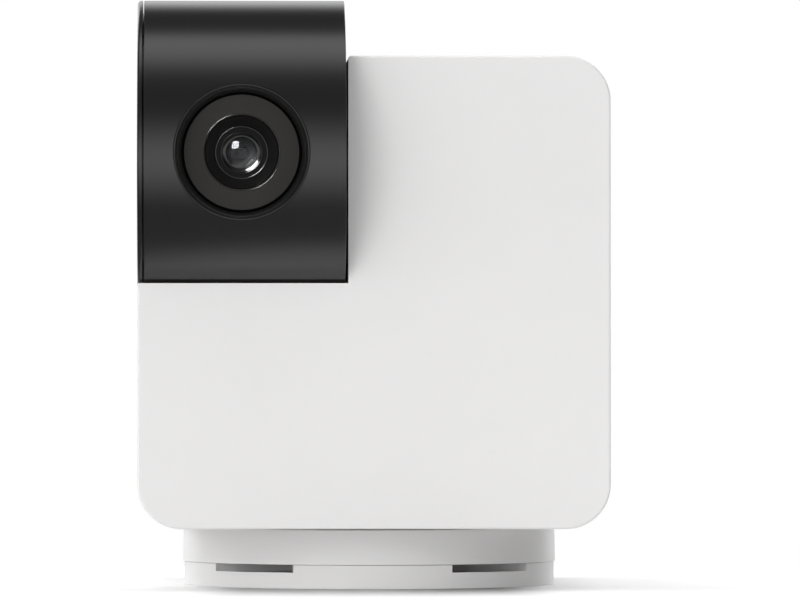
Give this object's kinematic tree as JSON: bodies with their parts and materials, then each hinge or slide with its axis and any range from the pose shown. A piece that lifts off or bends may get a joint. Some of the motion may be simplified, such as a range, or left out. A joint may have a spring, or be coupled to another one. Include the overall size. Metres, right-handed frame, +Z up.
{
  "type": "pet camera",
  "caption": "Indoor pan and tilt camera: a square head with a cut-out cradle turns on a low round base, and a drum in the cradle tilts the lens.",
  "frame": {"origin": "centre of the foot pad's underside, on the pan axis, where the camera rests", "axes": "+X to the right and +Z up, seen from the front; the front face and the lens look along -Y"},
  "size_m": [0.075, 0.0852, 0.094],
  "materials": {
    "white_shell": "fine satin moulding",
    "gloss_black": "high gloss",
    "mask_grey": "matte",
    "lens_glass": "coated and polished",
    "black_plastic": "satin",
    "button_grey": "satin",
    "rubber_pad": "matte",
    "nylon_gear": "satin",
    "steel": "plated",
    "bronze_bush": "sintered",
    "circuit_board": "solder mask"
  },
  "bodies": {
    "base": {"foot_pad": "rubber_pad", "base_cover": "white_shell", "base_housing": "white_shell", "pan_slide_ring": "nylon_gear", "pan_gear": "nylon_gear", "pan_retainer": "steel", "base_screw_1": "steel", "base_screw_2": "steel", "base_screw_3": "steel", "retainer_screw_1": "steel", "retainer_screw_2": "steel", "retainer_screw_3": "steel"},
    "head": {"front_housing": "white_shell", "rear_cover": "white_shell", "pan_bush": "bronze_bush", "pan_bracket": "steel", "pan_motor": "steel", "pan_bracket_screw_1": "steel", "pan_bracket_screw_2": "steel", "tilt_bush": "bronze_bush", "tilt_bracket": "steel", "tilt_motor": "steel", "tilt_bracket_screw_1": "steel", "tilt_bracket_screw_2": "steel", "main_board": "circuit_board", "board_screw_1": "steel", "board_screw_2": "steel", "board_screw_3": "steel", "board_screw_4": "steel", "shield_can": "steel", "speaker": "black_plastic", "microphone": "steel", "power_socket": "steel", "reset_switch": "black_plastic", "antenna": "circuit_board"},
    "pan_pinion": {"pan_pinion": "nylon_gear"},
    "tilt_pinion": {"tilt_pinion": "nylon_gear"},
    "drum": {"drum_sleeve": "gloss_black", "drum_end_cap": "gloss_black", "drum_hub": "black_plastic", "tilt_gear": "nylon_gear", "tilt_clip": "steel", "lens_bezel": "gloss_black", "lens_mask": "mask_grey", "lamp_board": "circuit_board", "lens_barrel": "black_plastic", "lens_retainer": "black_plastic", "front_element": "lens_glass", "rear_element": "lens_glass", "iris_plate": "black_plastic", "lens_holder": "black_plastic", "image_sensor": "black_plastic", "sensor_board": "circuit_board", "sensor_screw_1": "steel", "sensor_screw_2": "steel"},
    "reset_button": {"reset_button": "button_grey"}
  },
  "joints": [
    {"name": "pan", "type": "hinge", "parent": "base", "child": "head", "pos_m": [0, 0, 0.0097], "axis": [0, 0, 1], "range_deg": [-175, 175]},
    {"name": "pan_pinion_spin", "type": "hinge", "parent": "head", "child": "pan_pinion", "pos_m": [-0.02166, 0, 0.0133], "axis": [0, 0, 1], "range_deg": [-880, 880]},
    {"name": "tilt", "type": "hinge", "parent": "head", "child": "drum", "pos_m": [-0.02102, -0.0229, 0.0692], "axis": [-1, 0, 0], "range_deg": [-25, 65]},
    {"name": "tilt_pinion_spin", "type": "hinge", "parent": "head", "child": "tilt_pinion", "pos_m": [-0.0007, -0.01225, 0.05855], "axis": [-1, 0, 0], "range_deg": [-210, 85]},
    {"name": "reset_press", "type": "slide", "parent": "head", "child": "reset_button", "axis": [0, -1, 0], "range_m": [0, 0.0006], "stiffness_N_per_m": 600, "springref_m": -0.0008}
  ],
  "couplings": [
    {"joint": "pan_pinion_spin", "follows": "pan", "ratio": 5},
    {"joint": "tilt_pinion_spin", "follows": "tilt", "ratio": -3.1667}
  ]
}
